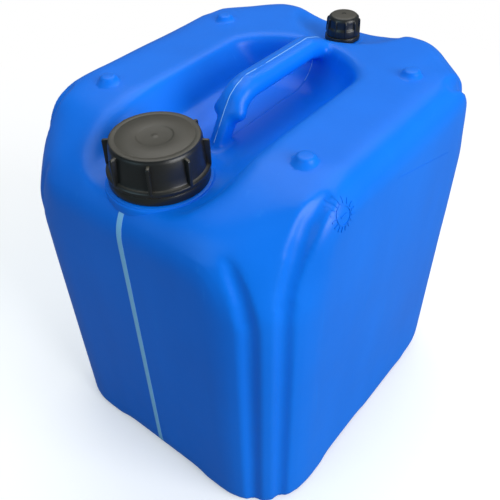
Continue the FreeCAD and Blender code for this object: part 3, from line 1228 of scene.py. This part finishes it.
@dataclass
class Closure:
    """A neck, its ribbed cap and its tamper ring."""

    prefix: str
    y: float
    ring_foot: float
    cap_foot: float
    neck: Outline
    thread: tuple[float, float, float, float, float]
    ring: Outline
    cap: Outline
    rib: Outline
    rib_thickness: float
    ribs: int
    phase: float
    teeth: tuple[float, int]
    steps: int = 96

    def build(self) -> None:
        """Models the closure and dresses it."""
        neck = dress(self.neck_piece(), "can", Finish.BLUE)
        ring = dress(self.ring_piece(), "can", Finish.BLACK)
        cap = dress(self.cap_piece(), f"{self.prefix}_cap", Finish.BLACK)
        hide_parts("can_body")
        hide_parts(f"{self.prefix}_tamper_ring")
        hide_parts(f"{self.prefix}_cap")

    def neck_piece(self) -> Shape:
        """The turned neck with the thread wound about it.

        Returns:
            The neck.
        """
        neck = Bench.turned(f"{self.prefix}_neck", self.neck, (0, self.y, 0), self.steps)
        radius, start, rise, turns, crest = self.thread
        Bench.clear()
        bpy.ops.mesh.primitive_circle_add(vertices=6, radius=crest, location=(radius, 0, start))
        thread = Bench.named("thread")
        for vertex in thread.data.vertices:
            vertex.co = (vertex.co.x, 0, start + vertex.co.y * THREAD_SQUASH)
        Bench.modify(
            thread, "SCREW", axis="Z", angle=math.tau * turns, screw_offset=rise * turns,
            steps=int(64 * turns), render_steps=int(64 * turns), use_smooth_shade=True,
        )
        with Bench.editing(thread, Element.EDGE):
            bpy.ops.mesh.select_non_manifold()
            bpy.ops.mesh.fill()
            bpy.ops.mesh.select_all(action="SELECT")
            bpy.ops.mesh.normals_make_consistent(inside=False)
        thread.location = (0, self.y, 0)
        Bench.settle(thread)
        return Bench.soften(Bench.join(f"{self.prefix}_neck", [neck, thread]), 35)

    def ring_piece(self) -> Shape:
        """The tamper ring with the little bridges left on top of it.

        Returns:
            The ring.
        """
        ring = Bench.turned(
            f"{self.prefix}_ring", self.ring, (0, self.y, self.ring_foot), self.steps
        )
        radius, count = self.teeth
        top = self.ring_foot + max(height for _, height in self.ring)
        parts = [ring]
        for turn in range(count):
            low = (radius - 0.0006, -0.0005, top - 0.0004)
            tooth = Bench.cube("tooth", low, (radius + 0.0006, 0.0005, top + 0.0003))
            Bench.round_edges(tooth, lambda e: True, 0.00012, 1)
            parts.append(self.placed(tooth, turn * math.tau / count))
        return Bench.soften(Bench.join(f"{self.prefix}_ring", parts), 35)

    def placed(self, shape: Shape, angle: float) -> Shape:
        """Turns a shape about the neck's axis and moves it there.

        Args:
            shape: The shape, modelled about the origin.
            angle: How far it turns.

        Returns:
            The same shape.
        """
        shape.rotation_euler = (0, 0, angle)
        shape.location = (0, self.y, 0)
        return Bench.settle(shape)

    def cap_piece(self) -> Shape:
        """The cap: a turned cup with fins standing on its skirt.

        Returns:
            The cap.
        """
        cap = Bench.turned(
            f"{self.prefix}_closure", self.cap, (0, self.y, self.cap_foot), self.steps
        )
        parts = [cap]
        half = self.rib_thickness / 2
        Bench.clear()
        bpy.ops.mesh.primitive_circle_add(
            vertices=len(self.rib), radius=1, fill_type="NGON", location=(0, 0, 0)
        )
        master = Bench.named("fin")
        for vertex, (radius, height) in zip(master.data.vertices, self.rib):
            vertex.co = (radius, -half, self.cap_foot + height)
        with Bench.editing(master, Element.FACE):
            bpy.ops.mesh.select_all(action="SELECT")
            bpy.ops.mesh.extrude_region_move(
                TRANSFORM_OT_translate={"value": (0, self.rib_thickness, 0)}
            )
            bpy.ops.mesh.select_all(action="SELECT")
            bpy.ops.mesh.normals_make_consistent(inside=False)
        Bench.round_edges(master, lambda e: True, half * 0.55, 2)
        for turn in range(self.ribs):
            fin = Bench.copy(master, "fin")
            angle = math.radians(self.phase) + turn * math.tau / self.ribs
            parts.append(self.placed(fin, angle))
        bpy.data.objects.remove(master)
        return Bench.soften(Bench.join(f"{self.prefix}_closure", parts), 35)


def main_closure() -> Closure:
    """The pouring neck's closure.

    Returns:
        The closure with all its sizes.
    """
    return Closure(
        prefix="main", y=-0.107, ring_foot=0.2918, cap_foot=0.2988,
        neck=[
            (0.0245, 0.284), (0.0384, 0.284), (0.0384, 0.2888), (0.0380, 0.2898), (0.0372, 0.2903),
            (0.0369, 0.2912), (0.0363, 0.2916), (0.0300, 0.2916), (0.0287, 0.2922), (0.0285, 0.2930),
            (0.0285, 0.3178), (0.0281, 0.3186), (0.0273, 0.3190), (0.0255, 0.3190), (0.0248, 0.3187),
            (0.0245, 0.3180),
        ],
        thread=(0.0286, 0.3022, 0.0050, 2.2, 0.0014),
        ring=[
            (0.0312, 0.0), (0.0344, 0.0), (0.0350, 0.0005), (0.0352, 0.0014), (0.0352, 0.0050),
            (0.0347, 0.0062), (0.0340, 0.0066), (0.0312, 0.0066),
        ],
        cap=[
            (0.0, 0.0202), (0.0290, 0.0202), (0.0311, 0.0180), (0.0311, 0.0), (0.0350, 0.0),
            (0.0356, 0.0006), (0.0356, 0.0026), (0.0350, 0.0034), (0.0333, 0.0041), (0.0328, 0.0052),
            (0.0324, 0.0110), (0.0319, 0.0170), (0.0314, 0.0215), (0.0309, 0.0232), (0.0305, 0.0238),
            (0.0305, 0.0246), (0.0301, 0.0249), (0.0296, 0.0250), (0.0270, 0.0250), (0.0268, 0.0249),
            (0.0262, 0.0249), (0.0260, 0.0250), (0.0130, 0.0250), (0.0126, 0.0249), (0.0120, 0.0246),
            (0.0115, 0.0245), (0.0030, 0.0245), (0.0020, 0.0245), (0.0013, 0.0248), (0.0, 0.0249),
        ],
        rib=[
            (0.0300, 0.0020), (0.0358, 0.0020), (0.0360, 0.0030), (0.0358, 0.0210), (0.0352, 0.0219),
            (0.0300, 0.0223),
        ],
        rib_thickness=0.0024, ribs=8, phase=-54, teeth=(0.0345, 24),
    )


def vent_closure() -> Closure:
    """The vent's closure.

    Returns:
        The closure with all its sizes.
    """
    return Closure(
        prefix="vent", y=0.1234, ring_foot=0.3053, cap_foot=0.3099,
        neck=[
            (0.0080, 0.300), (0.0178, 0.300), (0.0178, 0.3046), (0.0172, 0.3051), (0.0165, 0.3052),
            (0.0112, 0.3052), (0.0106, 0.3056), (0.0106, 0.3222), (0.0102, 0.3229), (0.0096, 0.3230),
            (0.0086, 0.3230), (0.0080, 0.3226),
        ],
        thread=(0.0106, 0.3112, 0.0030, 2.4, 0.0009),
        ring=[
            (0.0124, 0.0), (0.0142, 0.0), (0.0149, 0.0006), (0.0149, 0.0030), (0.0144, 0.0040),
            (0.0138, 0.0042), (0.0124, 0.0042),
        ],
        cap=[
            (0.0, 0.0142), (0.0108, 0.0142), (0.0118, 0.0132), (0.0118, 0.0), (0.0138, 0.0),
            (0.0141, 0.0004), (0.0141, 0.0052), (0.0137, 0.0062), (0.0131, 0.0068), (0.0129, 0.0074),
            (0.0128, 0.0118), (0.0127, 0.0133), (0.0123, 0.0143), (0.0114, 0.0152), (0.0106, 0.0158),
            (0.0092, 0.0159), (0.0050, 0.0162), (0.0018, 0.0163), (0.0014, 0.0159), (0.0, 0.0158),
        ],
        rib=[
            (0.0112, 0.0008), (0.0145, 0.0008), (0.0146, 0.0016), (0.0143, 0.0118), (0.0136, 0.0132),
            (0.0122, 0.0138), (0.0112, 0.0138),
        ],
        rib_thickness=0.0013, ribs=10, phase=-50, teeth=(0.0141, 12), steps=64,
    )


# ---------------------------------------------------------------- the studio


@dataclass
class Studio:
    """The floor, the lights and the camera."""

    eye: Point = (0.2710, -0.3466, 0.5443)
    azimuth: float = 40.9
    elevation: float = 43.3
    roll: float = -2.7
    lens: float = 45.63
    shift: tuple[float, float] = (0.0312, 0.0252)
    floor_size: float = 12
    world_light: float = 0.24
    world_tint: Colour = (0.86, 0.93, 1.0, 1)
    aim_height: float = 0.18

    def build(self) -> None:
        """Sets the stage."""
        self.floor()
        self.lights()
        self.world()
        self.camera()

    def floor(self) -> None:
        """A plain pale floor."""
        Bench.clear()
        bpy.ops.mesh.primitive_plane_add(size=self.floor_size, location=(0, 0, 0))
        floor = Bench.named("floor")
        floor.data.materials.append(FloorFinish().material())

    def lamp(self, name: str, place: Point, size: float, power: float, tint: Point) -> None:
        """A soft square lamp that faces the can.

        Args:
            name: The lamp's name.
            place: Where it hangs.
            size: How wide it is.
            power: Its power in watts.
            tint: Its colour.
        """
        data = bpy.data.lights.new(name, "AREA")
        data.size = size
        data.energy = power
        data.color = tint
        lamp = bpy.data.objects.new(name, data)
        lamp.location = place
        aim = Vector((0, 0, self.aim_height)) - Vector(place)
        lamp.rotation_euler = aim.to_track_quat("-Z", "Y").to_euler()
        bpy.context.scene.collection.objects.link(lamp)

    def lights(self) -> None:
        """A broad key from the right, a fill from the left and a glow overhead."""
        self.lamp("key", (2.1, 0.0, 1.0), 1.5, 48, (1, 1, 1))
        self.lamp("fill", (-0.5, -2.3, 1.5), 1.8, 18, (0.5, 0.85, 1))
        self.lamp("sky", (-0.4, 0.8, 2.4), 2.4, 36, (1, 1, 1))

    def world(self) -> None:
        """A grey world that looks white behind the can."""
        world = bpy.data.worlds.new("studio")
        bpy.context.scene.world = world
        world.use_nodes = True
        tree = world.node_tree
        tree.nodes.clear()
        path = tree.nodes.new("ShaderNodeLightPath")
        lit = tree.nodes.new("ShaderNodeBackground")
        seen = tree.nodes.new("ShaderNodeBackground")
        lit.inputs["Strength"].default_value = self.world_light
        lit.inputs["Color"].default_value = self.world_tint
        seen.inputs["Strength"].default_value = 1.0
        seen.inputs["Color"].default_value = WHITE
        blend = tree.nodes.new("ShaderNodeMixShader")
        output = tree.nodes.new("ShaderNodeOutputWorld")
        tree.links.new(path.outputs["Is Camera Ray"], blend.inputs[0])
        tree.links.new(lit.outputs[0], blend.inputs[1])
        tree.links.new(seen.outputs[0], blend.inputs[2])
        tree.links.new(blend.outputs[0], output.inputs["Surface"])

    def camera(self) -> None:
        """The camera, looking down over the front right corner."""
        az, el, roll = (math.radians(a) for a in (self.azimuth, self.elevation, self.roll))
        back = Vector((math.sin(az) * math.cos(el), -math.cos(az) * math.cos(el), math.sin(el)))
        right = (-back).cross(Vector((0, 0, 1))).normalized()
        up = right.cross(-back)
        turned_right = right * math.cos(roll) + up * math.sin(roll)
        turned_up = up * math.cos(roll) - right * math.sin(roll)
        frame_of = Matrix((turned_right, turned_up, back)).transposed().to_4x4()
        frame_of.translation = self.eye
        data = bpy.data.cameras.new("camera")
        data.lens = self.lens
        data.sensor_width = 36
        data.shift_x, data.shift_y = self.shift
        data.clip_start = 0.01
        camera = bpy.data.objects.new("camera", data)
        camera.matrix_world = frame_of
        bpy.context.scene.collection.objects.link(camera)
        bpy.context.scene.camera = camera
        bpy.context.scene.view_settings.view_transform = "Standard"


def main() -> None:
    """Builds the can piece by piece and sets it in the studio."""
    logging.basicConfig(level=logging.INFO, format="%(name)s %(message)s")
    Studio().build()
    shell = CanShell().build()
    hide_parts("can_body")
    Markings(shell).build()
    for closure in (main_closure(), vent_closure()):
        closure.build()
    for node in ("main_seal", "vent_seal"):
        Paint.on(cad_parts[node], Finish.FOAM)


if __name__ == "__main__":
    main()
